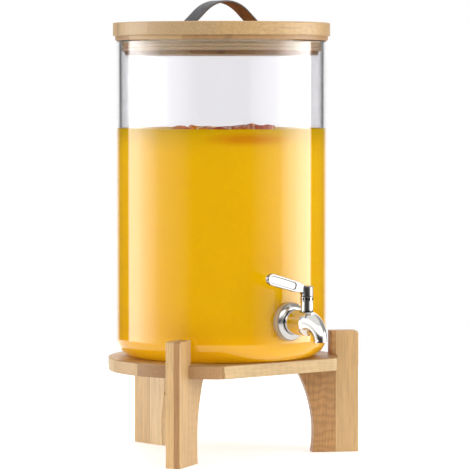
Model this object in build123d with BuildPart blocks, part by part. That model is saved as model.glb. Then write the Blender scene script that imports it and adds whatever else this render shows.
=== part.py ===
from build123d import *
import os
from math import cos, radians, sin

# Countertop drinks dispenser: a glass jar with a bamboo lid and a side tap, on a three-legged
# bamboo stand. Millimetres. The origin is the centre of the stand on the worktop, +Z is up and
# the tap points along -Y. A leg stands at each side of the tap and the third one is at the back.

os.makedirs("parts", exist_ok=True)

# ---------------------------------------------------------------- driving dimensions

# Stand
platform_r = 104.2
platform_z = 77.0            # underside
platform_t = 12.0
front_flat = 80.3            # from the centre to the straight front edge
leg_t = 14.0                 # board thickness
leg_outer = 123.8            # from the centre to the leg's outer edge
post_inner = 98.0            # inner edge of the post that rises above the platform
post_top = 111.0
foot_inner = 81.1
shelf_inner = 66.0           # inner end of the shoulder that carries the platform
leg_curve = 115.0            # radius of the hollow inner edge
leg_edge = 0.8               # rounding of the board's long edges
foot_corner = 2.0
top_corner = 3.0
leg_angles = {"leg_front_left": 210, "leg_front_right": 330, "leg_rear": 90}
dowel_r = 3.0
dowel_l = 20.0
dowel_down = 12.0            # depth of the dowel in the leg, the rest is in the platform
dowel_places = (75.0, 90.0)  # from the centre, two in each leg

# Jar
jar_y = 2.6                  # the jar stands a little back from the centre, against the rear post
jar_r = 95.0
glass_t = 4.0
base_t = 6.0
base_corner = 17.0
punt_r = 60.0                # the jar stands on a ring outside a shallow hollow
punt_h = 1.5
jar_z = platform_z + platform_t
rim_z = 374.5

# Tap, measured outwards from the glass along its own axis
tap_z = 125.5
shank_r = 8.0
shank_bore_r = 5.0
hole_r = 8.6
gasket_r = 17.2
gasket_t = 3.0
flange_r = 15.95
flange_t = 3.0
flange_rim = 1.0             # height of the straight rim, inside the domed face
thread_l = 6.0               # of the shank in the back of the tap body
shank_inside = 13.0          # from the glass to the shank's inner end
washer_t = 1.2
nut_t = 5.0
nut_flat = 11.0              # from the axis to a flat
barrel_r = 11.2
spindle_out = 23.7           # from the glass to the upright spindle
stem_r = 5.5
stem_top = 145.0
plug_r = 4.0
plug_bore_r = 4.06
spindle_r = 3.0
collar_r = 5.8
collar_top = 149.2
hub_r = 5.6
hub_top = 158.4
spout_bend = 16.0            # radius of the spout's centre line
spout_turn = 85.0            # degrees
outlet_r = 6.05
passage_r = 3.6
cross_hole_r = 3.0           # through the valve plug and its seat
seat_r = 4.0
valve_floor = 6.0            # below the tap's axis
notches = 12
notch_w = 1.7
notch_d = 1.5
running_gap = 0.06           # between the spindle and the pieces round it
screw_hole_r = 1.3
screw_seat = 2.5             # depth of the lever screw's head recess
screw_cap_r = 1.6

# Lever
lever_tilt = 15.0            # degrees above level
lever_h = 10.4
lever_t = 4.0
lever_tip = 45.3             # from the spindle, level
lever_root = 14.0
neck_x = 3.6                 # inside the hub
neck_h = 6.6
recess_d = 0.8
recess_margin = 1.6
nub_r = 1.7
nub_l = 0.9

# Lid
lid_r = 98.2
lid_z = 378.5
lid_t = 12.0
step_r = 96.2
plug_wood_r = 87.6
plug_wood_z = 361.4
seal_groove_r = 84.0
seal_z = 365.0
seal_lip_r = jar_r - glass_t - 0.35

# Strap
strap_w = 17.7
strap_t = 1.8
strap_foot = 37.4            # from the centre to the slot
strap_apex = 411.0
strap_slope = 40.0           # degrees, where the strap leaves the lid
strap_tail = 56.0            # end of the folded tail under the lid disc
pocket_d = 2.2


# ---------------------------------------------------------------- stand

# Laminated bamboo disc with a straight front edge and a notch for each leg's post
with BuildPart() as stand_platform:
    with BuildSketch(Plane.XY.offset(platform_z)):
        Circle(platform_r)
        with Locations((0, -front_flat)):
            Rectangle(3 * platform_r, platform_r, align=(Align.CENTER, Align.MAX), mode=Mode.SUBTRACT)
    extrude(amount=platform_t)
    corners = stand_platform.edges().filter_by(Axis.Z)
    fillet(corners.sort_by(Axis.Y)[:2], radius=10)
    rims = stand_platform.faces().filter_by(Axis.Z).edges()
    fillet(rims, radius=0.9)
    for angle in leg_angles.values():
        with BuildSketch(Plane.XY.offset(platform_z)):
            with PolarLocations(post_inner, 1, start_angle=angle):
                Rectangle(platform_r, leg_t, align=(Align.MIN, Align.CENTER))
        extrude(amount=platform_t, mode=Mode.SUBTRACT)
        with BuildSketch(Plane.XY.offset(platform_z)):
            with PolarLocations(dowel_places[0], 1, start_angle=angle):
                Circle(dowel_r)
            with PolarLocations(dowel_places[1], 1, start_angle=angle):
                Circle(dowel_r)
        extrude(amount=dowel_l - dowel_down, mode=Mode.SUBTRACT)
stand_platform.part.label = "stand_platform"
export_step(stand_platform.part, "parts/stand_platform.step")

# Bamboo leg board: a foot that hollows inwards to a shoulder, and a post outside the platform
with BuildPart() as leg_board:
    with BuildSketch(Plane.XZ) as board:
        with BuildLine():
            Polyline(
                (foot_inner, 0),
                (leg_outer, 0),
                (leg_outer, post_top),
                (post_inner, post_top),
                (post_inner, platform_z),
                (shelf_inner, platform_z),
            )
            RadiusArc((shelf_inner, platform_z), (foot_inner, 0), leg_curve)
        make_face()
        levels = board.vertices().group_by(Axis.Y)
        fillet(levels[-1].sort_by(Axis.X)[-1], radius=top_corner)
        fillet(levels[0], radius=foot_corner)
    extrude(amount=leg_t / 2, both=True)
    fillet(leg_board.faces().filter_by(Axis.Y).edges(), radius=leg_edge)
    with BuildSketch(Plane.XY.offset(platform_z)):
        with Locations(*[(place, 0) for place in dowel_places]):
            Circle(dowel_r)
    extrude(amount=-dowel_down, mode=Mode.SUBTRACT)

for name, angle in leg_angles.items():
    with BuildPart() as leg:
        add(leg_board.part, rotation=(0, 0, angle))
    leg.part.label = name
    export_step(leg.part, f"parts/{name}.step")

# Beech dowels, two through each shoulder into the platform
with BuildPart() as leg_dowels:
    with BuildSketch(Plane.XY.offset(platform_z - dowel_down)):
        for place in dowel_places:
            for angle in leg_angles.values():
                with PolarLocations(place, 1, start_angle=angle):
                    Circle(dowel_r)
    extrude(amount=dowel_l)
    chamfer(leg_dowels.faces().filter_by(Axis.Z).edges(), length=0.6)
leg_dowels.part.label = "leg_dowels"
export_step(leg_dowels.part, "parts/leg_dowels.step")


# ---------------------------------------------------------------- jar

jar_axis = Axis((0, jar_y, 0), (0, 0, 1))
jar_section = Plane(origin=(0, jar_y, 0), x_dir=(1, 0, 0), z_dir=(0, -1, 0))
tap_plane = Plane(origin=(0, jar_y - jar_r, tap_z), x_dir=(1, 0, 0), z_dir=(0, -1, 0))

# Blown glass cylinder with a rounded foot, a fire-polished rim and a drilled hole for the tap
with BuildPart() as glass_jar:
    with BuildSketch(jar_section):
        with BuildLine():
            Polyline(
                (0, jar_z + punt_h),
                (punt_r - 5, jar_z + punt_h),
                (punt_r, jar_z),
                (jar_r - base_corner, jar_z),
            )
            RadiusArc((jar_r - base_corner, jar_z), (jar_r, jar_z + base_corner), -base_corner)
            Polyline((jar_r, jar_z + base_corner), (jar_r, rim_z), (jar_r - glass_t, rim_z))
            Line((jar_r - glass_t, rim_z), (jar_r - glass_t, jar_z + base_corner))
            inner_corner = base_corner - glass_t
            RadiusArc(
                (jar_r - glass_t, jar_z + base_corner),
                (jar_r - base_corner, jar_z + base_t - 2),
                inner_corner,
            )
            Polyline(
                (jar_r - base_corner, jar_z + base_t - 2),
                (punt_r - 20, jar_z + base_t),
                (0, jar_z + base_t),
                (0, jar_z + punt_h),
            )
        make_face()
    revolve(axis=jar_axis)
    fillet(glass_jar.edges().group_by(Axis.Z)[-1], radius=1.6)
    with BuildSketch(tap_plane.offset(-3 * glass_t)):
        Circle(hole_r)
    extrude(amount=6 * glass_t, mode=Mode.SUBTRACT)
glass_jar.part.label = "glass_jar"
export_step(glass_jar.part, "parts/glass_jar.step")


# ---------------------------------------------------------------- tap, fixed pieces

glass_outside = Cylinder(jar_r, 2 * rim_z, align=(Align.CENTER, Align.CENTER, Align.MIN))
glass_outside = Pos(0, jar_y, 0) * glass_outside
glass_inside = Cylinder(jar_r - glass_t, 2 * rim_z, align=(Align.CENTER, Align.CENTER, Align.MIN))
glass_inside = Pos(0, jar_y, 0) * glass_inside
spindle_y = jar_y - jar_r - spindle_out
spindle_axis = Axis((0, spindle_y, 0), (0, 0, 1))
spindle_section = Plane(origin=(0, spindle_y, 0), x_dir=(1, 0, 0), z_dir=(0, -1, 0))

# Silicone washer outside the glass, its back moulded to the curve of the jar
with BuildPart() as tap_gasket_outer:
    with BuildSketch(tap_plane.offset(-gasket_t)):
        Circle(gasket_r)
        Circle(shank_r + 0.05, mode=Mode.SUBTRACT)
    extrude(amount=2 * gasket_t)
    fillet(tap_gasket_outer.edges().filter_by(GeomType.CIRCLE).sort_by(Axis.Y)[0], radius=0.8)
    add(glass_outside, mode=Mode.SUBTRACT)
tap_gasket_outer.part.label = "tap_gasket_outer"
export_step(tap_gasket_outer.part, "parts/tap_gasket_outer.step")

# Silicone washer inside the jar, flat towards the nut
with BuildPart() as tap_gasket_inner:
    with BuildSketch(tap_plane.offset(-glass_t - 4)):
        Circle(gasket_r - 3)
        Circle(shank_r + 0.05, mode=Mode.SUBTRACT)
    extrude(amount=4)
    add(glass_inside, mode=Mode.INTERSECT)
tap_gasket_inner.part.label = "tap_gasket_inner"
export_step(tap_gasket_inner.part, "parts/tap_gasket_inner.step")

# Stainless washer and hexagon nut that pull the tap against the glass
with BuildPart() as tap_washer:
    with BuildSketch(tap_plane.offset(-glass_t - 4 - washer_t)):
        Circle(gasket_r - 3)
        Circle(shank_r + 0.05, mode=Mode.SUBTRACT)
    extrude(amount=washer_t)
tap_washer.part.label = "tap_washer"
export_step(tap_washer.part, "parts/tap_washer.step")

with BuildPart() as tap_lock_nut:
    with BuildSketch(tap_plane.offset(-glass_t - 4 - washer_t - nut_t)):
        RegularPolygon(radius=nut_flat, side_count=6, major_radius=False)
        Circle(shank_r, mode=Mode.SUBTRACT)
    extrude(amount=nut_t)
    chamfer(tap_lock_nut.edges().filter_by(GeomType.CIRCLE), length=0.4)
tap_lock_nut.part.label = "tap_lock_nut"
export_step(tap_lock_nut.part, "parts/tap_lock_nut.step")

# Hollow shank through the glass, screwed into the back of the tap body
with BuildPart() as tap_shank:
    with BuildSketch(tap_plane.offset(-glass_t - shank_inside)):
        Circle(shank_r)
        Circle(shank_bore_r, mode=Mode.SUBTRACT)
    extrude(amount=glass_t + shank_inside + gasket_t + flange_t + thread_l)
    chamfer(tap_shank.edges().filter_by(GeomType.CIRCLE), length=0.5)
tap_shank.part.label = "tap_shank"
export_step(tap_shank.part, "parts/tap_shank.step")

# Polished flange between the washer and the tap body, domed towards the barrel
tap_axis = Axis((0, 0, tap_z), (0, 1, 0))
tap_section = Plane(origin=(0, jar_y - jar_r, tap_z), x_dir=(0, -1, 0), z_dir=(-1, 0, 0))
with BuildPart() as tap_flange:
    flange_front = gasket_t + flange_t
    with BuildSketch(tap_section):
        with BuildLine():
            rim = Polyline(
                (flange_front, shank_r + 0.05),
                (gasket_t, shank_r + 0.05),
                (gasket_t, flange_r - 0.4),
                (gasket_t + 0.4, flange_r),
                (gasket_t + flange_rim, flange_r),
            )
            ThreePointArc(rim @ 1, (gasket_t + 2.42, flange_r - 2.3), (flange_front, barrel_r - 0.2))
            Line((flange_front, barrel_r - 0.2), rim @ 0)
        make_face()
    revolve(axis=tap_axis)
tap_flange.part.label = "tap_flange"
export_step(tap_flange.part, "parts/tap_flange.step")

# Cast and polished body: barrel, curved spout and the upright stem that holds the valve
with BuildPart() as tap_body:
    barrel_start = gasket_t + flange_t
    bend_out = spindle_out + 2.0
    with BuildSketch(tap_plane.offset(barrel_start)):
        Circle(barrel_r)
    extrude(amount=bend_out - barrel_start)
    fillet(tap_body.edges().sort_by(Axis.Y)[-1], radius=0.6)
    bend_y = jar_y - jar_r - bend_out
    for turn, radius in ((0, barrel_r), (15, 10.1), (35, 8.4), (60, 6.9), (spout_turn, outlet_r)):
        direction = (0, -cos(radians(turn)), -sin(radians(turn)))
        centre = (
            0,
            bend_y - spout_bend * sin(radians(turn)),
            tap_z - spout_bend * (1 - cos(radians(turn))),
        )
        with BuildSketch(Plane(origin=centre, x_dir=(1, 0, 0), z_dir=direction)):
            Circle(radius)
    loft()
    outlet = tap_body.faces().sort_by(Axis.Z)[0]
    extrude(outlet, amount=1.6)
    with BuildSketch(Plane(origin=(0, spindle_y, tap_z), x_dir=(1, 0, 0), z_dir=(0, 0, 1))):
        Circle(stem_r)
    extrude(amount=stem_top - tap_z)
    # Waterway: threaded socket at the back, valve chamber, then the curved outlet passage
    with BuildSketch(tap_plane.offset(barrel_start)):
        Circle(shank_r)
    extrude(amount=thread_l, mode=Mode.SUBTRACT)
    with BuildSketch(tap_plane.offset(barrel_start)):
        Circle(seat_r)
    extrude(amount=spindle_out - barrel_start, mode=Mode.SUBTRACT)
    with BuildSketch(Plane.XY.offset(tap_z - valve_floor)):
        with Locations((0, spindle_y)):
            Circle(plug_bore_r)
    extrude(amount=stem_top - tap_z + valve_floor, mode=Mode.SUBTRACT)
    with BuildLine() as waterway:
        Line((0, spindle_y, tap_z), (0, bend_y, tap_z))
        bend = RadiusArc(
            (0, bend_y, tap_z),
            (
                0,
                bend_y - spout_bend * sin(radians(spout_turn)),
                tap_z - spout_bend * (1 - cos(radians(spout_turn))),
            ),
            spout_bend,
        )
        Line(bend @ 1, bend @ 1 + (bend % 1) * 4)
    with BuildSketch(Plane(origin=(0, spindle_y, tap_z), x_dir=(1, 0, 0), z_dir=(0, -1, 0))):
        Circle(passage_r)
    sweep(path=waterway.wires()[0], mode=Mode.SUBTRACT)
tap_body.part.label = "tap_body"
export_step(tap_body.part, "parts/tap_body.step")

# Seat seal pressed into the waterway behind the valve plug
with BuildPart() as valve_seat:
    with BuildSketch(tap_plane.offset(barrel_start + thread_l + 2)):
        Circle(seat_r)
        Circle(cross_hole_r, mode=Mode.SUBTRACT)
    extrude(amount=spindle_out - plug_bore_r - barrel_start - thread_l - 3)
valve_seat.part.label = "valve_seat"
export_step(valve_seat.part, "parts/valve_seat.step")

# Slotted collar that closes the top of the stem and keeps the spindle in
with BuildPart() as stem_collar:
    with BuildSketch(spindle_section):
        with BuildLine():
            Polyline(
                (spindle_r + running_gap, stem_top - 2),
                (plug_bore_r, stem_top - 2),
                (plug_bore_r, stem_top),
                (collar_r - 0.5, stem_top),
                (collar_r, stem_top + 0.5),
                (collar_r, collar_top - 0.5),
                (collar_r - 0.5, collar_top),
                (spindle_r + running_gap, collar_top),
                close=True,
            )
        make_face()
    revolve(axis=spindle_axis)
    with BuildSketch(Plane(origin=(0, spindle_y, stem_top + 0.8), x_dir=(1, 0, 0), z_dir=(0, 0, 1))):
        with PolarLocations(collar_r - notch_d, notches, start_angle=15):
            Rectangle(2 * notch_d, notch_w, align=(Align.MIN, Align.CENTER))
    extrude(amount=collar_top - stem_top - 1.6, mode=Mode.SUBTRACT)
stem_collar.part.label = "stem_collar"
export_step(stem_collar.part, "parts/stem_collar.step")


# ---------------------------------------------------------------- tap handle, turns on the spindle

# Upright plug with a cross hole that lines up with the spout after a quarter turn
plug_top = stem_top - 2.05
plug_floor = tap_z - valve_floor + 0.1
spindle_top = hub_top - screw_seat
ring_grooves = (tap_z + 8.5, tap_z + 13)
ring_r = 0.6
with BuildPart() as valve_plug:
    with BuildSketch(spindle_section):
        with BuildLine():
            Polyline(
                (0, plug_floor),
                (plug_r - 0.4, plug_floor),
                (plug_r, plug_floor + 0.4),
                (plug_r, plug_top),
                (spindle_r, plug_top),
                (spindle_r, spindle_top),
                (0, spindle_top),
                close=True,
            )
        make_face()
    revolve(axis=spindle_axis)
    with BuildSketch(Plane(origin=(-2 * plug_r, spindle_y, tap_z), x_dir=(0, 1, 0), z_dir=(1, 0, 0))):
        Circle(cross_hole_r)
    extrude(amount=4 * plug_r, mode=Mode.SUBTRACT)
    for groove in ring_grooves:
        groove_low = groove - ring_r - 0.2
        with BuildSketch(Plane(origin=(0, spindle_y, groove_low), x_dir=(1, 0, 0), z_dir=(0, 0, 1))):
            Circle(plug_r + 1)
            Circle(plug_r - 2 * ring_r, mode=Mode.SUBTRACT)
        extrude(amount=2 * ring_r + 0.4, mode=Mode.SUBTRACT)
    with BuildSketch(Plane(origin=(0, spindle_y, spindle_top), x_dir=(1, 0, 0), z_dir=(0, 0, 1))):
        Circle(screw_hole_r)
    extrude(amount=-6, mode=Mode.SUBTRACT)
valve_plug.part.label = "valve_plug"
export_step(valve_plug.part, "parts/valve_plug.step")

# Rubber rings in the plug's grooves
with BuildPart() as valve_o_rings:
    for groove in ring_grooves:
        with BuildSketch(spindle_section):
            with Locations((plug_r - ring_r, groove)):
                Circle(ring_r)
        revolve(axis=spindle_axis)
valve_o_rings.part.label = "valve_o_rings"
export_step(valve_o_rings.part, "parts/valve_o_rings.step")

# Paddle of the lever: it lies in an upright plane, rises outwards and is hollowed on both sides
lever_mid = (collar_top + hub_top) / 2 + 0.9
lever_side = Plane(
    origin=(0, spindle_y, lever_mid),
    x_dir=(-cos(radians(lever_tilt)), 0, sin(radians(lever_tilt))),
    z_dir=(0, 1, 0),
)
tip = lever_tip / cos(radians(lever_tilt))
with BuildPart() as paddle:
    with BuildSketch(lever_side):
        with BuildLine():
            neck = Line((neck_x, -neck_h / 2), (lever_root, -lever_h / 2 + 0.3))
            lower = Line(neck @ 1, (tip - lever_h / 2, -lever_h / 2))
            end = RadiusArc(lower @ 1, (tip - lever_h / 2, lever_h / 2), -lever_h / 2)
            upper = Line(end @ 1, (lever_root, lever_h / 2 - 0.3))
            Polyline(upper @ 1, (neck_x, neck_h / 2), neck @ 0)
        make_face()
    extrude(amount=lever_t / 2, both=True)
    fillet(paddle.faces().filter_by(lever_side).edges().filter_by(lambda e: e.length > 7), radius=0.7)
    recess_h = lever_h - 2 * recess_margin
    recess_l = tip - recess_margin - lever_root
    for side in (-1, 1):
        with BuildSketch(lever_side.offset(side * (lever_t / 2 - recess_d))):
            with Locations((lever_root + recess_l / 2, 0)):
                RectangleRounded(recess_l, recess_h, 0.4 * recess_h)
        extrude(amount=side * 2 * recess_d, mode=Mode.SUBTRACT)
    nub_plane = Plane(
        origin=lever_side.from_local_coords((tip - 1, 0, 0)),
        x_dir=(0, 1, 0),
        z_dir=lever_side.x_dir,
    )
    with BuildSketch(nub_plane):
        Circle(nub_r)
    extrude(amount=1 + nub_l)
    fillet(paddle.edges().filter_by(GeomType.CIRCLE).sort_by(Axis.X)[0], radius=nub_l - 0.1)

# Lever casting: the hub that is keyed to the spindle, with the paddle
with BuildPart() as tap_lever:
    with BuildSketch(spindle_section):
        with BuildLine():
            Polyline(
                (spindle_r, collar_top + 0.1),
                (hub_r - 0.3, collar_top + 0.1),
                (hub_r, collar_top + 0.4),
                (hub_r, hub_top - 0.8),
                (hub_r - 0.8, hub_top),
                (screw_cap_r, hub_top),
                (screw_cap_r, spindle_top),
                (spindle_r, spindle_top),
                close=True,
            )
        make_face()
    revolve(axis=spindle_axis)
    add(paddle.part)
tap_lever.part.label = "tap_lever"
export_step(tap_lever.part, "parts/tap_lever.step")

# Small countersunk screw down through the hub into the spindle
with BuildPart() as lever_screw:
    with BuildSketch(spindle_section):
        with BuildLine():
            Polyline(
                (0, spindle_top - 5),
                (screw_hole_r, spindle_top - 5),
                (screw_hole_r, spindle_top),
                (screw_cap_r, spindle_top),
                (screw_cap_r, hub_top - 0.6),
                (0, hub_top - 0.6),
                close=True,
            )
        make_face()
    revolve(axis=spindle_axis)
    with BuildSketch(Plane(origin=(0, spindle_y, hub_top - 0.6), x_dir=(1, 0, 0), z_dir=(0, 0, 1))):
        RegularPolygon(radius=0.8, side_count=6)
    extrude(amount=-1.2, mode=Mode.SUBTRACT)
lever_screw.part.label = "lever_screw"
export_step(lever_screw.part, "parts/lever_screw.step")


# ---------------------------------------------------------------- lid

lid_plane = Plane(origin=(0, jar_y, lid_z), x_dir=(1, 0, 0), z_dir=(0, 0, 1))
strap_section = Plane(origin=(0, jar_y, 0), x_dir=(1, 0, 0), z_dir=(0, -1, 0))
screw_r = 1.5
screw_head_r = 3.2
screw_places = [(x, y) for x in (-strap_foot - 11.5, strap_foot + 11.5) for y in (-4.5, 4.5)]
slot_w = 3.6

# Bamboo disc with two slots for the strap and a pocket beneath each slot for the folded tail
with BuildPart() as lid_disc:
    with BuildSketch(lid_plane):
        Circle(lid_r)
    extrude(amount=lid_t)
    fillet(lid_disc.edges().filter_by(GeomType.CIRCLE), radius=1.0)
    for side in (-1, 1):
        with BuildSketch(lid_plane):
            with Locations((side * strap_foot, 0)):
                Rectangle(slot_w, strap_w + 0.6)
        extrude(amount=lid_t, mode=Mode.SUBTRACT)
        with BuildSketch(lid_plane):
            with Locations((side * (strap_foot - slot_w / 2), 0)):
                pocket_side = Align.MIN if side > 0 else Align.MAX
                Rectangle(strap_tail + 3 - strap_foot, strap_w + 0.6, align=(pocket_side, Align.CENTER))
        extrude(amount=pocket_d, mode=Mode.SUBTRACT)
    with BuildSketch(lid_plane):
        with Locations(*screw_places):
            Circle(screw_r)
    extrude(amount=lid_t - 3, mode=Mode.SUBTRACT)
lid_disc.part.label = "lid_disc"
export_step(lid_disc.part, "parts/lid_disc.step")

# Turned bamboo plug with a step that rests on the rim and a groove for the seal
with BuildPart() as lid_plug:
    with BuildSketch(strap_section):
        with BuildLine():
            Polyline(
                (0, plug_wood_z),
                (plug_wood_r - 1, plug_wood_z),
                (plug_wood_r, plug_wood_z + 1),
                (plug_wood_r, seal_z),
                (seal_groove_r, seal_z),
                (seal_groove_r, rim_z),
                (step_r - 0.6, rim_z),
                (step_r, rim_z + 0.6),
                (step_r, lid_z),
                (0, lid_z),
                close=True,
            )
        make_face()
    revolve(axis=jar_axis)
    with BuildSketch(lid_plane):
        with Locations(*screw_places):
            Circle(screw_head_r + 0.4)
    extrude(amount=-3, mode=Mode.SUBTRACT)
lid_plug.part.label = "lid_plug"
export_step(lid_plug.part, "parts/lid_plug.step")

# Silicone seal in the plug's groove, with three rounded lips towards the glass
with BuildPart() as lid_seal:
    lip_pitch = (rim_z - seal_z) / 3
    with BuildSketch(strap_section):
        with BuildLine():
            Polyline(
                (seal_lip_r - 1.2, rim_z),
                (seal_groove_r, rim_z),
                (seal_groove_r, seal_z),
                (seal_lip_r - 1.2, seal_z),
            )
            for lip in range(3):
                low = seal_z + lip * lip_pitch
                ThreePointArc(
                    (seal_lip_r - 1.2, low),
                    (seal_lip_r, low + lip_pitch / 2),
                    (seal_lip_r - 1.2, low + lip_pitch),
                )
        make_face()
    revolve(axis=jar_axis)
lid_seal.part.label = "lid_seal"
export_step(lid_seal.part, "parts/lid_seal.step")

# Leather strap: an arch over the lid, its ends turned down the slots and folded into the pockets
tail_z = lid_z + strap_t / 2 + 0.15
foot_z = lid_z + lid_t - 0.2
peak_z = foot_z + strap_foot * sin(radians(strap_slope)) / cos(radians(strap_slope))
arch_r = (peak_z - strap_apex + strap_t / 2) / (1 / cos(radians(strap_slope)) - 1)
with BuildPart() as strap_handle:
    with BuildLine(strap_section) as strap_path:
        FilletPolyline(
            (-strap_tail, tail_z),
            (-strap_foot, tail_z),
            (-strap_foot, foot_z),
            (0, peak_z),
            (strap_foot, foot_z),
            (strap_foot, tail_z),
            (strap_tail, tail_z),
            radius=(1.6, 3.0, arch_r, 3.0, 1.6),
        )
    with BuildSketch(Plane(origin=strap_path.line @ 0, x_dir=(0, 1, 0), z_dir=strap_path.line % 0)):
        Rectangle(strap_w, strap_t)
    sweep()
    with BuildSketch(lid_plane):
        with Locations(*screw_places):
            Circle(screw_r)
    extrude(amount=2 * strap_t, mode=Mode.SUBTRACT)
strap_handle.part.label = "strap_handle"
export_step(strap_handle.part, "parts/strap_handle.step")

# Four pan-head screws that hold the folded tails up into the disc
with BuildPart() as strap_screws:
    head_top = tail_z - strap_t / 2
    with BuildSketch(lid_plane.offset(head_top - lid_z)):
        with Locations(*screw_places):
            Circle(screw_head_r)
    extrude(amount=-2)
    fillet(strap_screws.faces().sort_by(Axis.Z)[:4].edges(), radius=1.0)
    with BuildSketch(lid_plane.offset(head_top - lid_z)):
        with Locations(*screw_places):
            Circle(screw_r)
    extrude(amount=8)
    chamfer(strap_screws.faces().sort_by(Axis.Z)[-4:].edges(), length=0.7)
strap_screws.part.label = "strap_screws"
export_step(strap_screws.part, "parts/strap_screws.step")
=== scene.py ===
import math

import bmesh
import bpy
from mathutils import Matrix, Vector, noise


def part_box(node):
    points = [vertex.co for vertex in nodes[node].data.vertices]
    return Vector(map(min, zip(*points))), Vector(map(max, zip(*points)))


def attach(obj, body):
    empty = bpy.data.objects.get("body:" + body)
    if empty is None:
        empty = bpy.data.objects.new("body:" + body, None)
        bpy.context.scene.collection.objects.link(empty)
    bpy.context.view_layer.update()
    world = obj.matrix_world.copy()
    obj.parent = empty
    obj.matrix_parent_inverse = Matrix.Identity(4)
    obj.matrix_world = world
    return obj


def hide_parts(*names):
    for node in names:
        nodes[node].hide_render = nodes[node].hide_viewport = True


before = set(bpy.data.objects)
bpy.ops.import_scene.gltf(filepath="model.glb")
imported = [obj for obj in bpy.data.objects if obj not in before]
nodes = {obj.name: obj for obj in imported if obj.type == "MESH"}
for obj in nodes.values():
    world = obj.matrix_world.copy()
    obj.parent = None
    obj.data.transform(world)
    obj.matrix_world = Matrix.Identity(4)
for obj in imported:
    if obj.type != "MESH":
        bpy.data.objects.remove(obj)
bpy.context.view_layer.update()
UP = Vector((0, 0, 1))

# ---------------------------------------------------------------- platform
# A disc of laminated bamboo, cut from a board glued up of strips in two layers. The strips lie
# two degrees off the straight front edge, so that edge is mostly one pale strip and the round rim
# shows the ends of all of them. It is sanded, rounded over and finished with a satin lacquer.


def linear(colour):
    """An sRGB hex colour as linear red, green, blue and alpha."""
    parts = [int(colour[i : i + 2], 16) / 255 for i in (0, 2, 4)]
    return [p / 12.92 if p <= 0.04045 else ((p + 0.055) / 1.055) ** 2.4 for p in parts] + [1.0]


def node(tree, kind, inputs, **settings):
    """Adds a node. An input is a plain value or the socket that feeds it."""
    made = tree.nodes.new("ShaderNode" + kind)
    for key, value in settings.items():
        setattr(made, key, value)
    for key, value in inputs.items():
        if isinstance(value, bpy.types.NodeSocket):
            tree.links.new(value, made.inputs[key])
        else:
            made.inputs[key].default_value = value
    return made


def finish(name, **settings):
    """A material with its Principled shader, whose sockets are named with _ for a space."""
    made = bpy.data.materials.new(name)
    made.use_nodes = True
    shader = made.node_tree.nodes["Principled BSDF"]
    for key, value in settings.items():
        shader.inputs[key.replace("_", " ")].default_value = value
    return made, made.node_tree, shader


def ramp(tree, factor, stops, steps="LINEAR"):
    """A colour ramp with (position, colour) stops."""
    made = node(tree, "ValToRGB", {"Fac": factor})
    made.color_ramp.interpolation = steps
    while len(made.color_ramp.elements) < len(stops):
        made.color_ramp.elements.new(0.5)
    for element, (position, colour) in zip(made.color_ramp.elements, stops):
        element.position = position
        element.color = linear(colour)
    return made.outputs["Color"]


PALE = "CDAE80"      # cut from the inside of the cane
HONEY = "BE9A68"
TAN = "AB8252"
CARAMEL = "9A7042"   # near the skin, where the fibres are closest
GLUE = "94703F"
GLUE_LINE = 0.0005   # drawn a little wider than the real film of glue, so that it shows
KNUCKLE_GAP = 0.26


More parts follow.
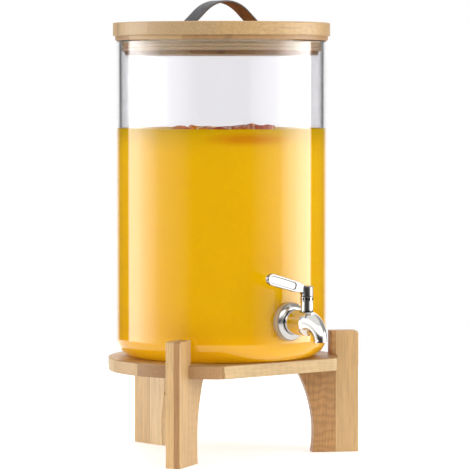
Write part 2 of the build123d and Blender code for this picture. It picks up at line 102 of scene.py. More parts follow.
def bamboo(name, along, across, start, strips, layers=(), figured=0.05):
    """Laminated bamboo: strips lists (width, colour) from start across the grain. Each layer is
    (height, shift): above that height in the board the strips lie that much further over. figured
    is how dark the bands across the first strip are."""
    made, tree, shader = finish(name, IOR=1.5, Coat_Weight=0.12, Coat_Roughness=0.3)
    thick = along.cross(across)
    place = node(tree, "TexCoord", {})
    turned = Matrix((along, across, thick)).to_euler()
    board = node(tree, "Mapping", {"Vector": place.outputs["Object"], "Rotation": turned})
    axes = node(tree, "SeparateXYZ", {"Vector": board.outputs["Vector"]})
    width = axes.outputs["Y"]
    for layer_height, shift in layers:
        upper = node(tree, "Math", {0: axes.outputs["Z"], 1: layer_height}, operation="GREATER_THAN")
        moved = node(tree, "Math", {0: upper.outputs[0], 1: shift, 2: width}, operation="MULTIPLY_ADD")
        width = moved.outputs[0]
    end = start + sum(strip[0] for strip in strips)
    share = node(tree, "MapRange", {"Value": width, "From Min": start, "From Max": end})
    stops = []
    edge = 0.0
    for strip_width, colour in strips:
        stops += [(edge, GLUE), (edge + GLUE_LINE / (end - start), colour)]
        edge += strip_width / (end - start)
    tone = ramp(tree, share.outputs["Result"], stops, "CONSTANT")
    # Fibres run the length of a strip, 0.3 mm apart and drawn at 1.3 mm so that they show
    fibre_scale = node(tree, "Mapping", {"Vector": board.outputs["Vector"], "Scale": (22, 760, 760)})
    fibre = node(tree, "TexNoise", {"Vector": fibre_scale.outputs["Vector"], "Scale": 1.0, "Detail": 4.0})
    streak_scale = node(tree, "Mapping", {"Vector": board.outputs["Vector"], "Scale": (60, 1500, 1500)})
    streak = node(tree, "TexNoise", {"Vector": streak_scale.outputs["Vector"], "Scale": 1.0, "Detail": 2.0})
    light = node(tree, "MapRange", {"Value": fibre.outputs["Fac"], "From Min": 0.3, "From Max": 0.7,
                                    "To Min": 0.82, "To Max": 1.09})
    dark = node(tree, "MapRange", {"Value": streak.outputs["Fac"], "From Min": 0.56, "From Max": 0.68,
                                   "To Min": 1.0, "To Max": 0.80})
    # The knuckles of the cane cross each strip as a darker band, at a different place in each
    seed = node(tree, "TexWhiteNoise", {"Vector": tone})
    along_strip = node(tree, "Math", {0: seed.outputs["Value"], 1: KNUCKLE_GAP, 2: axes.outputs["X"]},
                       operation="MULTIPLY_ADD")
    knuckle = node(tree, "Math", {0: along_strip.outputs[0], 1: KNUCKLE_GAP}, operation="PINGPONG")
    band = node(tree, "MapRange", {"Value": knuckle.outputs[0], "From Min": 0.0012, "From Max": 0.004,
                                   "To Min": 0.74, "To Max": 1.0})
    # The first strip is cut where the fibres swerve near a knuckle, drawn as wavy darker bands
    # along its whole length
    wave = node(tree, "TexWave", {"Vector": board.outputs["Vector"], "Scale": 42.0, "Distortion": 7.0,
                                  "Detail": 2.0, "Detail Scale": 1.5}, bands_direction="X")
    first_end = strips[0][0] / (end - start)
    first = node(tree, "Math", {0: share.outputs["Result"], 1: first_end}, operation="LESS_THAN")
    swerve = node(tree, "Math", {0: wave.outputs["Fac"], 1: first.outputs[0]}, operation="MULTIPLY")
    figure = node(tree, "MapRange", {"Value": swerve.outputs[0], "From Min": 0.3, "From Max": 0.9,
                                     "To Min": 1.0, "To Max": 1.0 - figured})
    # Across the cut ends the lacquer soaks in and they go darker
    facing = node(tree, "VectorMath", {0: place.outputs["Normal"], 1: along}, operation="DOT_PRODUCT")
    end_on = node(tree, "Math", {0: facing.outputs["Value"]}, operation="ABSOLUTE")
    soak = node(tree, "MapRange", {"Value": end_on.outputs[0], "From Min": 0.35, "From Max": 0.9,
                                   "To Min": 1.0, "To Max": 0.84})
    shade = node(tree, "Math", {0: light.outputs["Result"], 1: dark.outputs["Result"]}, operation="MULTIPLY")
    shade = node(tree, "Math", {0: shade.outputs[0], 1: band.outputs["Result"]}, operation="MULTIPLY")
    shade = node(tree, "Math", {0: shade.outputs[0], 1: figure.outputs["Result"]}, operation="MULTIPLY")
    shade = node(tree, "Math", {0: shade.outputs[0], 1: soak.outputs["Result"]}, operation="MULTIPLY")
    colour = node(tree, "VectorMath", {0: tone, "Scale": shade.outputs[0]}, operation="SCALE")
    tree.links.new(colour.outputs["Vector"], shader.inputs["Base Color"])
    satin = node(tree, "MapRange", {"Value": fibre.outputs["Fac"], "To Min": 0.36, "To Max": 0.58})
    tree.links.new(satin.outputs["Result"], shader.inputs["Roughness"])
    grain = node(tree, "Bump", {"Height": shade.outputs[0], "Strength": 0.35, "Distance": 0.0003})
    tree.links.new(grain.outputs["Normal"], shader.inputs["Normal"])
    return made


platform_low, platform_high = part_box("stand_platform")
platform_middle = (platform_low.z + platform_high.z) / 2
OVERHANG = 0.010      # the strips start this far outside the board, so no glue line falls on its edge
ROUND_OVER = 0.0009
platform_strips = [(0.01193, "BB9C6A"), (0.038, TAN), (0.036, CARAMEL), (0.042, HONEY), (0.040, PALE),
                   (0.042, HONEY)]
askew = Vector((math.cos(math.radians(2)), math.sin(math.radians(2)), 0))
nodes["stand_platform"].material_slots[0].material = bamboo(
    "laminated_bamboo_platform", askew, UP.cross(askew), platform_low.y - OVERHANG, platform_strips,
    layers=[(platform_middle, -0.0001), (platform_high.z - ROUND_OVER, -0.035)])

# ---------------------------------------------------------------- legs and dowels
# Three boards of the same bamboo with their grain upright, laminated through their thickness as
# well as across. Each carries the platform on a shoulder and is glued on with two turned beech
# dowels, which are hidden once the stand is together.

# For each leg: its direction, its strips from the inner edge outwards, its layers, and how dark
# the bands across its first strip are
LEG_INNER = 0.060
leg_boards = {
    "leg_front_left": (210, [(0.045, HONEY), (0.025, HONEY), (0.025, CARAMEL)],
                       [(0.0008, 0.025), (0.0062, -0.025)], 0.05),
    "leg_front_right": (330, [(0.0422, "AC7E48"), (0.040, HONEY)], [], 0.17),
    "leg_rear": (90, [(0.024, HONEY), (0.022, PALE), (0.024, HONEY)], [(0.001, 0.006)], 0.05),
}
for name, (angle, strips, layers, figured) in leg_boards.items():
    out = Vector((math.cos(math.radians(angle)), math.sin(math.radians(angle)), 0))
    nodes[name].material_slots[0].material = bamboo(
        "laminated_bamboo_" + name, UP, out, LEG_INNER, strips, layers, figured)

beech, tree, shader = finish("turned_beech", Roughness=0.6)
place = node(tree, "TexCoord", {})
rays = node(tree, "Mapping", {"Vector": place.outputs["Object"], "Scale": (900, 900, 120)})
flecks = node(tree, "TexNoise", {"Vector": rays.outputs["Vector"], "Scale": 1.0, "Detail": 3.0})
tone = ramp(tree, flecks.outputs["Fac"], [(0.35, "C99B6B"), (0.65, "E0BC8E")])
tree.links.new(tone, shader.inputs["Base Color"])
grain = node(tree, "Bump", {"Height": flecks.outputs["Fac"], "Strength": 0.3, "Distance": 0.0002})
tree.links.new(grain.outputs["Normal"], shader.inputs["Normal"])
nodes["leg_dowels"].material_slots[0].material = beech

# ---------------------------------------------------------------- jar
# A cylinder of clear soda-lime glass, 4 mm thick, blown into a mould: dead smooth to the touch
# with a faint waviness that only bends reflections. The rim is fire-polished and the tap's hole
# is drilled and ground.

glass, tree, shader = finish("clear_blown_glass", Roughness=0.0, IOR=1.52, Transmission_Weight=1.0)
shader.inputs["Base Color"].default_value = linear("F7F6F8")
place = node(tree, "TexCoord", {})
draw = node(tree, "Mapping", {"Vector": place.outputs["Object"], "Scale": (30, 30, 7)})
waves = node(tree, "TexNoise", {"Vector": draw.outputs["Vector"], "Scale": 1.0, "Detail": 0.0})
waviness = node(tree, "Bump", {"Height": waves.outputs["Fac"], "Strength": 0.2, "Distance": 0.0004})
tree.links.new(waviness.outputs["Normal"], shader.inputs["Normal"])
nodes["glass_jar"].material_slots[0].material = glass

# ---------------------------------------------------------------- orange juice
# The jar is filled with fresh orange juice, opaque with pulp. It wets the glass all the way
# round, so its skin is drawn just inside the wall's inner surface and climbs it a little.

jar_low, jar_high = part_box("glass_jar")
jar_axis = (jar_low + jar_high) / 2
WALL = 0.004
WETTING = 0.0002
JUICE_LEVEL = jar_high.z - 0.0805
juice_r = jar_high.x - WALL + WETTING
FLOOR_THICK = 0.006
CORNER_R = 0.013


def turned(name, outline, steps=160, smooth=True):
    """A closed piece turned on the jar's axis from (radius, height) points of its half outline."""
    bm = bmesh.new()
    points = [bm.verts.new((jar_axis.x + r, jar_axis.y, z)) for r, z in outline]
    edges = [bm.edges.new(pair) for pair in zip(points, points[1:])]
    bmesh.ops.spin(bm, geom=points + edges, cent=(jar_axis.x, jar_axis.y, 0), axis=UP,
                   angle=math.tau, steps=steps, use_merge=True)
    bmesh.ops.remove_doubles(bm, verts=bm.verts, dist=1e-6)
    bmesh.ops.recalc_face_normals(bm, faces=bm.faces)
    return piece(name, bm, smooth)


def piece(name, bm, smooth=True):
    """Turns a finished bmesh into an object of the scene."""
    mesh = bpy.data.meshes.new(name)
    bm.to_mesh(mesh)
    bm.free()
    mesh.shade_smooth() if smooth else mesh.shade_flat()
    made = bpy.data.objects.new(name, mesh)
    bpy.context.scene.collection.objects.link(made)
    return made


def arc(centre_r, centre_z, radius, first, last, steps):
    """Points of an arc of the outline, from one angle to the other, in degrees."""
    turns = [math.radians(first + (last - first) * i / steps) for i in range(steps + 1)]
    return [(centre_r + radius * math.cos(t), centre_z + radius * math.sin(t)) for t in turns]


corner_r = CORNER_R + WETTING
corner_centre = juice_r - corner_r
foot_z = jar_low.z + WALL - WETTING
MENISCUS = 0.0016
juice_outline = [(0, foot_z + 0.002), (0.04, foot_z + 0.002)]
juice_outline += arc(corner_centre, foot_z + corner_r, corner_r, -90, 0, 12)
juice_outline += [(juice_r, JUICE_LEVEL - 0.02), (juice_r, JUICE_LEVEL + MENISCUS)]
juice_outline += arc(juice_r - WETTING - MENISCUS, JUICE_LEVEL + MENISCUS, MENISCUS, 0, -90, 5)
juice_outline += [(0.06, JUICE_LEVEL), (0, JUICE_LEVEL)]
juice = turned("orange_juice", juice_outline)

VIEW_TURN = math.radians(39.11)
to_right = Vector((math.cos(VIEW_TURN), -math.sin(VIEW_TURN), 0))
to_front = Vector((-math.sin(VIEW_TURN), -math.cos(VIEW_TURN), 0))
slice_under = Vector((jar_axis.x, jar_axis.y, JUICE_LEVEL - 0.0072)) + to_right * 0.022 + to_front * 0.088

pulp, tree, shader = finish("fresh_orange_juice", Roughness=0.25, IOR=1.35, Specular_IOR_Level=0.05,
                            Subsurface_Weight=0.2, Subsurface_Scale=0.008)
shader.inputs["Subsurface Radius"].default_value = (1.0, 0.8, 0.3)
place = node(tree, "TexCoord", {})
drift = node(tree, "TexNoise", {"Vector": place.outputs["Object"], "Scale": 14.0, "Detail": 3.0})
fleck = node(tree, "TexNoise", {"Vector": place.outputs["Object"], "Scale": 420.0, "Detail": 2.0})
height = node(tree, "SeparateXYZ", {"Vector": place.outputs["Object"]})
depth = node(tree, "MapRange", {"Value": height.outputs["Z"], "From Min": foot_z, "From Max": JUICE_LEVEL})
body_tone = ramp(tree, depth.outputs["Result"],
                 [(0.0, "F3AF02"), (0.25, "FBC600"), (0.9, "FFCE00"), (1.0, "FCC400")])
cloudy = node(tree, "Mix", {"Factor": drift.outputs["Fac"], 6: body_tone, 7: linear("FFD004")},
              data_type="RGBA")
flecked = node(tree, "MapRange", {"Value": fleck.outputs["Fac"], "From Min": 0.55, "From Max": 0.75,
                                  "To Min": 1.0, "To Max": 1.06})
colour = node(tree, "VectorMath", {0: cloudy.outputs[2], "Scale": flecked.outputs["Result"]},
              operation="SCALE")
# A deeper orange patch is drawn just under the surface, as where a slice lies there
under = node(tree, "Mapping", {"Vector": place.outputs["Object"], "Location": slice_under,
                               "Scale": (0.036, 0.060, 0.0055),
                               "Rotation": (0, 0, -VIEW_TURN)}, vector_type="TEXTURE")
away = node(tree, "VectorMath", {0: under.outputs["Vector"]}, operation="LENGTH")
patch = node(tree, "MapRange", {"Value": away.outputs["Value"], "From Min": 0.35, "From Max": 1.2,
                                "To Min": 0.75, "To Max": 0.0})
deeper = node(tree, "Mix", {"Factor": patch.outputs["Result"], 6: colour.outputs["Vector"],
                            7: linear("EE8E04")}, data_type="RGBA")
tree.links.new(deeper.outputs[2], shader.inputs["Base Color"])
# Painted light: the juice glows faintly towards its foot, standing in for light that enters high up and is
# scattered down
shader.inputs["Emission Color"].default_value = linear("FFB600")
glow = node(tree, "MapRange", {"Value": height.outputs["Z"], "From Min": foot_z, "From Max": foot_z + 0.022,
                               "To Min": 0.3, "To Max": 0.05})
tree.links.new(glow.outputs["Result"], shader.inputs["Emission Strength"])
ripple = node(tree, "Bump", {"Height": drift.outputs["Fac"], "Strength": 0.15, "Distance": 0.0006})
tree.links.new(ripple.outputs["Normal"], shader.inputs["Normal"])
juice.data.materials.append(pulp)
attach(juice, "jar")

# ---------------------------------------------------------------- fruit
# Slices of orange and grapefruit and wedges of peach float at the surface, most of each one
# under it. They are cut by hand, so no two are the same size or lie the same way.


def flesh(name, centre, colours, segments):
    """Cut citrus: rind outside, a pale ring of pith, and flesh in segments between pale skins."""
    made, tree, shader = finish(name, Roughness=0.3, IOR=1.4, Subsurface_Weight=0.3, Subsurface_Scale=0.004)
    rind, pith, juicy, deep = colours
    place = node(tree, "TexCoord", {})
    local = node(tree, "Mapping", {"Vector": place.outputs["Object"], "Location": -centre})
    axes = node(tree, "SeparateXYZ", {"Vector": local.outputs["Vector"]})
    flat = node(tree, "CombineXYZ", {"X": axes.outputs["X"], "Y": axes.outputs["Y"]})
    radius = node(tree, "VectorMath", {0: flat.outputs["Vector"]}, operation="LENGTH")
    turn = node(tree, "Math", {0: axes.outputs["Y"], 1: axes.outputs["X"]}, operation="ARCTAN2")
    wedge = node(tree, "Math", {0: turn.outputs[0], 1: math.tau / segments}, operation="PINGPONG")
    cells = node(tree, "TexNoise", {"Vector": place.outputs["Object"], "Scale": 300.0, "Detail": 2.0})
    wet = ramp(tree, cells.outputs["Fac"], [(0.35, deep), (0.65, juicy)])
    skin = node(tree, "MapRange", {"Value": wedge.outputs[0], "From Min": 0.04, "From Max": 0.09})
    inner = node(tree, "Mix", {"Factor": skin.outputs["Result"], 6: linear(pith), 7: wet}, data_type="RGBA")
    share = node(tree, "MapRange", {"Value": radius.outputs["Value"], "From Min": 0.0, "From Max": 0.034})
    rings = ramp(tree, share.outputs["Result"], [(0.0, "FFFFFF"), (0.84, "000000")], "CONSTANT")
    outer = ramp(tree, share.outputs["Result"], [(0.0, pith), (0.93, rind)], "CONSTANT")
    whole = node(tree, "Mix", {"Factor": rings, 6: outer, 7: inner.outputs[2]}, data_type="RGBA")
    tree.links.new(whole.outputs[2], shader.inputs["Base Color"])
    bumps = node(tree, "Bump", {"Height": cells.outputs["Fac"], "Strength": 0.5, "Distance": 0.0006})
    tree.links.new(bumps.outputs["Normal"], shader.inputs["Normal"])
    return made


def floating(right, front, height):
    """A point of the juice's surface, measured from the jar's axis."""
    spot = Vector((jar_axis.x, jar_axis.y, JUICE_LEVEL + height))
    return spot + to_right * right + to_front * front


def citrus_slice(name, centre, tilt, turn, radius, material):
    """A cut slice, 8 mm thick, with its edge rounded and its faces slightly sunk and uneven."""
    bm = bmesh.new()
    bmesh.ops.create_circle(bm, segments=40, radius=radius, cap_ends=True)
    made = bmesh.ops.extrude_face_region(bm, geom=bm.faces[:])
    lifted = [g for g in made["geom"] if isinstance(g, bmesh.types.BMVert)]
    bmesh.ops.translate(bm, verts=lifted, vec=(0, 0, 0.008))
    caps = [f for f in bm.faces if len(f.verts) > 4]
    bmesh.ops.bevel(bm, geom=[e for f in caps for e in f.edges], offset=0.0014, segments=3, profile=0.5,
                    affect="EDGES", material=-1)
    caps = [f for f in bm.faces if len(f.verts) > 4]
    for step in (0.006, 0.008, 0.008):
        bmesh.ops.inset_region(bm, faces=caps, thickness=step, depth=-0.0002)
    bmesh.ops.recalc_face_normals(bm, faces=bm.faces)
    for v in bm.verts:
        v.co += v.normal * 0.002 * noise.noise(v.co * 160 + centre * 40)
    place = Matrix.Translation(centre) @ Matrix.Rotation(turn, 4, "Z") @ Matrix.Rotation(tilt, 4, "X")
    bmesh.ops.transform(bm, matrix=place, verts=bm.verts)
    made = piece(name, bm)
    made.data.materials.append(material)
    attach(made, "jar")


def peach_wedge(name, centre, size, turn, material):
    """A lump of peach cut with a knife: one rounded side and softened corners."""
    bm = bmesh.new()
    bmesh.ops.create_icosphere(bm, subdivisions=4, radius=1.0)
    for v in bm.verts:
        v.co.x = math.copysign(abs(v.co.x) ** 0.7, v.co.x)
        v.co.z = math.copysign(abs(v.co.z) ** 0.6, v.co.z)
        v.co *= 1 + 0.12 * noise.noise(v.co * 1.7 + centre * 50)
    place = Matrix.Translation(centre) @ Matrix.Rotation(turn, 4, "Z") @ Matrix.Diagonal((*size, 1))
    bmesh.ops.transform(bm, matrix=place, verts=bm.verts)
    made = piece(name, bm)
    made.data.materials.append(material)
    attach(made, "jar")


orange_colours = ("E8730A", "F3D9A0", "F79A1E", "E9780C")
grapefruit_colours = ("C85220", "EFC194", "D0622F", "A8431A")
orange_at = floating(-0.014, 0.030, -0.0050)
citrus_slice("orange_slice", orange_at, math.radians(5), 0.4, 0.015,
             flesh("cut_orange", orange_at, orange_colours, 9))
for number, (right, front, tilt, turn) in enumerate(((0.008, 0.045, -5, 1.2), (0.029, 0.020, 6, 2.6))):
    at = floating(right, front, -0.0045)
    citrus_slice(f"grapefruit_slice_{number}", at, math.radians(tilt), turn, 0.019,
                 flesh(f"cut_grapefruit_{number}", at, grapefruit_colours, 11))

peach, tree, shader = finish("cut_peach", Roughness=0.35, IOR=1.4, Subsurface_Weight=0.3,
                             Subsurface_Scale=0.004)
place = node(tree, "TexCoord", {})
fibres = node(tree, "TexNoise", {"Vector": place.outputs["Object"], "Scale": 180.0, "Detail": 3.0})
tone = ramp(tree, fibres.outputs["Fac"], [(0.35, "C9601A"), (0.65, "EFA04A")])
tree.links.new(tone, shader.inputs["Base Color"])
bumps = node(tree, "Bump", {"Height": fibres.outputs["Fac"], "Strength": 0.4, "Distance": 0.0005})
tree.links.new(bumps.outputs["Normal"], shader.inputs["Normal"])
peach_wedge("peach_wedge_0", floating(-0.036, 0.050, -0.002), (0.010, 0.008, 0.0065), 0.3, peach)
peach_wedge("peach_wedge_1", floating(0.018, 0.072, -0.003), (0.009, 0.007, 0.006), 1.9, peach)

# ---------------------------------------------------------------- tap
# Cast stainless steel, ground and buffed to a mirror. What is left of the buffing shows only as
# the faintest haze. It is screwed on a hollow shank through the glass between two moulded
# silicone washers, with a pressed washer and a nut inside the jar.


def steel(name, roughness, haze_scale, colour="DEDCD8", shade_reach=0.0025):
    """Stainless steel with the faint haze that its last working leaves. Corners and hollows are
    drawn dark out to the given distance: painted shade from an ambient occlusion node."""
    made, tree, shader = finish(name, Metallic=1.0)
    # Painted shade: an ambient occlusion node darkens the steel's colour in corners and hollows
    corners = node(tree, "AmbientOcclusion", {"Distance": shade_reach}, samples=16)
    tree.links.new(ramp(tree, corners.outputs["AO"], [(0.62, "161415"), (0.86, "7A7877"), (0.98, colour)]),
                   shader.inputs["Base Color"])
    place = node(tree, "TexCoord", {})
    haze = node(tree, "TexNoise", {"Vector": place.outputs["Object"], "Scale": haze_scale, "Detail": 4.0})
    dull = node(tree, "MapRange", {"Value": haze.outputs["Fac"], "From Min": 0.3, "From Max": 0.7,
                                   "To Min": roughness * 0.7, "To Max": roughness * 1.4})
    tree.links.new(dull.outputs["Result"], shader.inputs["Roughness"])
    buffed = node(tree, "Bump", {"Height": haze.outputs["Fac"], "Strength": 0.04, "Distance": 0.0001})
    tree.links.new(buffed.outputs["Normal"], shader.inputs["Normal"])
    return made


def silicone(name, colour, through):
    """Moulded silicone, soft and milky: a fine spark-eroded matt surface from the mould."""
    made, tree, shader = finish(name, Roughness=0.4, IOR=1.41, Subsurface_Weight=0.25,
                                Subsurface_Scale=0.003, Transmission_Weight=through)
    place = node(tree, "TexCoord", {})
    matt = node(tree, "TexNoise", {"Vector": place.outputs["Object"], "Scale": 900.0, "Detail": 2.0})
    cloud = node(tree, "TexNoise", {"Vector": place.outputs["Object"], "Scale": 40.0, "Detail": 2.0})
    darker = [c * 0.9 for c in linear(colour)[:3]] + [1.0]
    milky = node(tree, "Mix", {"Factor": cloud.outputs["Fac"], 6: linear(colour), 7: darker},
                 data_type="RGBA")
    tree.links.new(milky.outputs[2], shader.inputs["Base Color"])
    skin = node(tree, "Bump", {"Height": matt.outputs["Fac"], "Strength": 0.2, "Distance": 0.0001})
    tree.links.new(skin.outputs["Normal"], shader.inputs["Normal"])
    return made


mirror_steel = steel("mirror_polished_stainless_steel", 0.05, 30)
turned_steel = steel("turned_stainless_steel", 0.18, 260)
zinc = steel("zinc_plated_steel", 0.28, 500)
for name in ("tap_body", "stem_collar"):
    nodes[name].material_slots[0].material = mirror_steel
# The lever and the flange get darker steel colours than the body: painted shade that dims their reflections
nodes["tap_lever"].material_slots[0].material = steel("buffed_stainless_steel_lever", 0.12, 60, "9C9A98")
nodes["tap_flange"].material_slots[0].material = steel(
    "buffed_stainless_steel_flange", 0.2, 40, "C0BDB9", 0.0006)

for name in ("tap_shank", "tap_washer", "tap_lock_nut", "valve_plug"):
    nodes[name].material_slots[0].material = turned_steel
nodes["lever_screw"].material_slots[0].material = zinc
washer_silicone = silicone("moulded_silicone_washer", "B09A7C", 0.1)
for name in ("tap_gasket_outer", "tap_gasket_inner"):
    nodes[name].material_slots[0].material = washer_silicone

# The valve's soft pieces, shut inside the body: a turned PTFE seat and two moulded rubber rings
ptfe, tree, shader = finish("turned_ptfe", Roughness=0.45, IOR=1.38)
place = node(tree, "TexCoord", {})
lathe = node(tree, "TexNoise", {"Vector": place.outputs["Object"], "Scale": 700.0, "Detail": 2.0})
tone = ramp(tree, lathe.outputs["Fac"], [(0.3, "E9E9E4"), (0.7, "F6F6F2")])
tree.links.new(tone, shader.inputs["Base Color"])
marks = node(tree, "Bump", {"Height": lathe.outputs["Fac"], "Strength": 0.2, "Distance": 0.0001})
tree.links.new(marks.outputs["Normal"], shader.inputs["Normal"])
nodes["valve_seat"].material_slots[0].material = ptfe

rubber, tree, shader = finish("moulded_nitrile_rubber", Roughness=0.55, IOR=1.52)
place = node(tree, "TexCoord", {})
bloom = node(tree, "TexNoise", {"Vector": place.outputs["Object"], "Scale": 800.0, "Detail": 2.0})
tone = ramp(tree, bloom.outputs["Fac"], [(0.3, "161616"), (0.7, "232323")])
tree.links.new(tone, shader.inputs["Base Color"])
skin = node(tree, "Bump", {"Height": bloom.outputs["Fac"], "Strength": 0.2, "Distance": 0.0001})
tree.links.new(skin.outputs["Normal"], shader.inputs["Normal"])
nodes["valve_o_rings"].material_slots[0].material = rubber

# ---------------------------------------------------------------- lid
# A bamboo disc glued to a turned bamboo plug. The plug's step sits on the glass rim, and a
# milky silicone seal with three lips in its groove presses against the inside of the glass.

lid_low, lid_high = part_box("lid_disc")
lid_grain = Vector((1, 0, 0))
lid_strips = [(0.034, HONEY), (0.058, "B8976A"), (0.050, "C2A276"), (0.070, HONEY)]
nodes["lid_disc"].material_slots[0].material = bamboo(
    "laminated_bamboo_lid", lid_grain, UP.cross(lid_grain), lid_low.y - 0.010, lid_strips)
nodes["lid_plug"].material_slots[0].material = bamboo(
    "laminated_bamboo_plug", lid_grain, UP.cross(lid_grain), lid_low.y - 0.010,
    [(0.060, TAN), (0.060, HONEY), (0.090, TAN)])
nodes["lid_seal"].material_slots[0].material = silicone("milky_silicone_seal", "EBCFA6", 0.05)

# ---------------------------------------------------------------- strap
# A leather strap of two layers glued back to back: grained dark grey outside, brown suede
# inside, with burnished edges. It arches over the lid, drops through two slots, and its ends
# are folded out under the disc, each held by two screws.

strap_low, strap_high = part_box("strap_handle")
STRAP_THICKNESS = 0.0018
ARCH_SLOPE = math.radians(40)
FOOT_BEND = 0.003
FOLD_BEND = 0.0016
STRAP_FOOT = 0.0374
half_width = (strap_high.y - strap_low.y) / 2
tail_z = strap_low.z + STRAP_THICKNESS / 2
crown_z = strap_high.z - STRAP_THICKNESS / 2
slot_z = lid_high.z - 0.0002
peak_z = slot_z + STRAP_FOOT * math.tan(ARCH_SLOPE)
arch_r = (peak_z - crown_z) / (1 / math.cos(ARCH_SLOPE) - 1)


def bend(bm, edge, centre, angle, steps):
    """Carries the strap's end edge round a bend, and gives the new end edge."""
    made = bmesh.ops.spin(bm, geom=[edge] + list(edge.verts), cent=centre, axis=(0, 1, 0),
                          angle=angle, steps=steps)
    return next(g for g in made["geom_last"] if isinstance(g, bmesh.types.BMEdge))


def run(bm, edge, vector):
    """Carries the strap's end edge straight on, and gives the new end edge."""
    made = bmesh.ops.extrude_edge_only(bm, edges=[edge])["geom"]
    bmesh.ops.translate(bm, verts=[g for g in made if isinstance(g, bmesh.types.BMVert)], vec=vector)
    return next(g for g in made if isinstance(g, bmesh.types.BMEdge))


bm = bmesh.new()
crown = [bm.verts.new((0, jar_axis.y + side * half_width, crown_z)) for side in (-1, 1)]
end = bm.edges.new(crown)
end = bend(bm, end, (0, 0, crown_z - arch_r), ARCH_SLOPE, 14)
arch_end = end.verts[0].co.copy()
turn_left = math.radians(90) - ARCH_SLOPE
slope = Vector((math.cos(ARCH_SLOPE), 0, -math.sin(ARCH_SLOPE)))
bend_start = (STRAP_FOOT - arch_end.x) / slope.x - FOOT_BEND * math.tan(turn_left / 2)
end = run(bm, end, slope * bend_start)
inward = Vector((-math.sin(ARCH_SLOPE), 0, -math.cos(ARCH_SLOPE)))
end = bend(bm, end, end.verts[0].co + inward * FOOT_BEND, turn_left, 6)
end = run(bm, end, Vector((0, 0, tail_z + FOLD_BEND - end.verts[0].co.z)))
end = bend(bm, end, end.verts[0].co + Vector((FOLD_BEND, 0, 0)), -math.radians(90), 6)
end = run(bm, end, Vector((strap_high.x - end.verts[0].co.x, 0, 0)))
bmesh.ops.mirror(bm, geom=bm.verts[:] + bm.edges[:] + bm.faces[:], axis="X", merge_dist=1e-6)
bmesh.ops.recalc_face_normals(bm, faces=bm.faces)
strap = piece("strap", bm)
thick = strap.modifiers.new("thickness", "SOLIDIFY")
thick.thickness = STRAP_THICKNESS
thick.offset = 0.0
thick.material_offset = 1
thick.material_offset_rim = 2
soften = strap.modifiers.new("burnished_edges", "BEVEL")
soften.width = 0.00045
soften.segments = 3
soften.limit_method = "ANGLE"


def leather(name, dark, light, roughness, pore, relief):
    """Leather: pore is the size of its grain in metres, relief how deep the grain is."""
    made, tree, shader = finish(name, IOR=1.5)
    place = node(tree, "TexCoord", {})
    cells = node(tree, "TexVoronoi", {"Vector": place.outputs["Object"], "Scale": 1 / pore})
    wear = node(tree, "TexNoise", {"Vector": place.outputs["Object"], "Scale": 90.0, "Detail": 3.0})
    tree.links.new(ramp(tree, wear.outputs["Fac"], [(0.3, dark), (0.7, light)]), shader.inputs["Base Color"])
    rough = node(tree, "MapRange", {"Value": wear.outputs["Fac"], "To Min": roughness - 0.1,
                                    "To Max": roughness + 0.1})
    tree.links.new(rough.outputs["Result"], shader.inputs["Roughness"])
    creases = node(tree, "Bump", {"Height": cells.outputs["Distance"], "Strength": 0.5, "Distance": relief})
    tree.links.new(creases.outputs["Normal"], shader.inputs["Normal"])
    return made


strap.data.materials.append(leather("grained_leather_grey", "2E2D30", "4A494D", 0.5, 0.0014, 0.0004))
strap.data.materials.append(leather("suede_leather_brown", "6A3D18", "96602C", 0.85, 0.0009, 0.0002))
strap.data.materials.append(leather("burnished_leather_edge", "33261E", "46342A", 0.45, 0.0012, 0.0001))
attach(strap, "lid")
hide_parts("strap_handle")
nodes["strap_screws"].material_slots[0].material = zinc

# ---------------------------------------------------------------- studio
# A white table, tall soft boxes to the left and right, a broad soft light above the camera and
# a white backdrop. The lights are drawn in the world, and the camera itself sees plain white.

bm = bmesh.new()
bmesh.ops.create_circle(bm, segments=96, radius=0.9, cap_ends=True)
table = piece("studio_table", bm, smooth=False)
table_white, tree, shader = finish("white_table_laminate", Roughness=0.7)
shader.inputs["Base Color"].default_value = linear("F6F6F6")
shader.inputs["Emission Color"].default_value = linear("FFFFFF")
shader.inputs["Emission Strength"].default_value = 0.3
table.data.materials.append(table_white)

world = bpy.data.worlds.new("soft_boxes")
bpy.context.scene.world = world
world.use_nodes = True
tree = world.node_tree
backdrop = tree.nodes["Background"]
ray = node(tree, "TexCoord", {}).outputs["Generated"]
front = node(tree, "VectorMath", {0: ray, 1: to_front}, operation="DOT_PRODUCT")
right = node(tree, "VectorMath", {0: ray, 1: to_right}, operation="DOT_PRODUCT")
height = node(tree, "SeparateXYZ", {"Vector": ray})
around = node(tree, "Math", {0: right.outputs["Value"], 1: front.outputs["Value"]}, operation="ARCTAN2")
level = node(tree, "Math", {0: height.outputs["Z"]}, operation="ARCSINE")


BRIGHTEST = 8.0


def strength_by(angle, stops):
    """Light by direction: (degrees, strength) stops, round from the camera or up from level."""
    share = node(tree, "MapRange", {"Value": angle.outputs[0], "From Min": -math.pi, "From Max": math.pi})
    made = node(tree, "ValToRGB", {"Fac": share.outputs["Result"]})
    while len(made.color_ramp.elements) < len(stops):
        made.color_ramp.elements.new(0.5)
    for element, (degrees, strength) in zip(made.color_ramp.elements, stops):
        element.position = degrees / 360 + 0.5
        element.color = [strength / BRIGHTEST] * 3 + [1.0]
    return node(tree, "Math", {0: made.outputs["Color"], 1: BRIGHTEST}, operation="MULTIPLY")


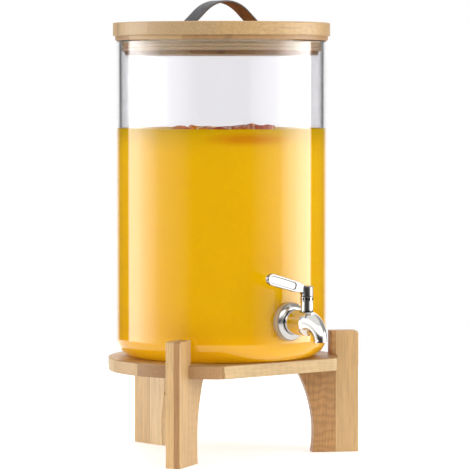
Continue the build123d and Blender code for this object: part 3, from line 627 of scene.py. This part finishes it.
def combine(operation, first, second):
    return node(tree, "Math", {0: first.outputs[0], 1: second.outputs[0]}, operation=operation)


side_boxes = combine(
    "MULTIPLY",
    strength_by(around, [(-124, 0.0), (-122, 4.0), (-104, 5.2), (-86, 3.4), (-70, 1.2), (-45, 0.55),
                         (-32, 0.0), (31, 0.0), (45, 0.5), (64, 1.3), (80, 4.6), (100, 6.6),
                         (114, 6.2), (116, 0.0)]),
    strength_by(level, [(-20, 0.0), (-9, 1.0), (9, 1.0), (22, 0.0)]))
front_box = combine(
    "MULTIPLY",
    strength_by(around, [(-85, 0.0), (-60, 2.3), (60, 2.3), (85, 0.0)]),
    strength_by(level, [(12, 0.0), (22, 1.0), (42, 1.0), (54, 0.0)]))
back_wall = combine(
    "MULTIPLY",
    strength_by(around, [(-160, 1.0), (-150, 0.0), (150, 0.0), (160, 1.0)]),
    strength_by(level, [(-80, 0.0), (-70, 1.0), (60, 1.0), (80, 0.0)]))
ceiling = strength_by(level, [(-12, 0.05), (6, 0.08), (14, 0.35), (45, 0.45), (58, 1.0), (90, 1.0)])
total = combine("ADD", combine("ADD", side_boxes, front_box), combine("ADD", back_wall, ceiling))
seen = node(tree, "LightPath", {})
strength = node(tree, "Mix", {0: seen.outputs["Is Camera Ray"], 2: total.outputs[0], 3: 1.0},
                data_type="FLOAT")
tree.links.new(strength.outputs[0], backdrop.inputs["Strength"])
backdrop.inputs["Color"].default_value = linear("FFFFFF")

scene = bpy.context.scene
scene.view_settings.view_transform = "Standard"

# ---------------------------------------------------------------- camera
# A long lens at eye level of the juice's surface, turned to the left side of the tap.

EYE = 0.33387
DISTANCE = 2.78288
LOOK_DOWN = 0.04857
LOOK_RIGHT = 0.00438
camera = bpy.data.objects.new("camera", bpy.data.cameras.new("camera"))
scene.collection.objects.link(camera)
camera.data.lens = 235.22
camera.data.sensor_width = 36.0
camera.location = Vector((jar_axis.x, jar_axis.y, EYE)) + to_front * DISTANCE
camera.rotation_euler = (math.pi / 2 - LOOK_DOWN, 0, -VIEW_TURN - LOOK_RIGHT)
scene.camera = camera
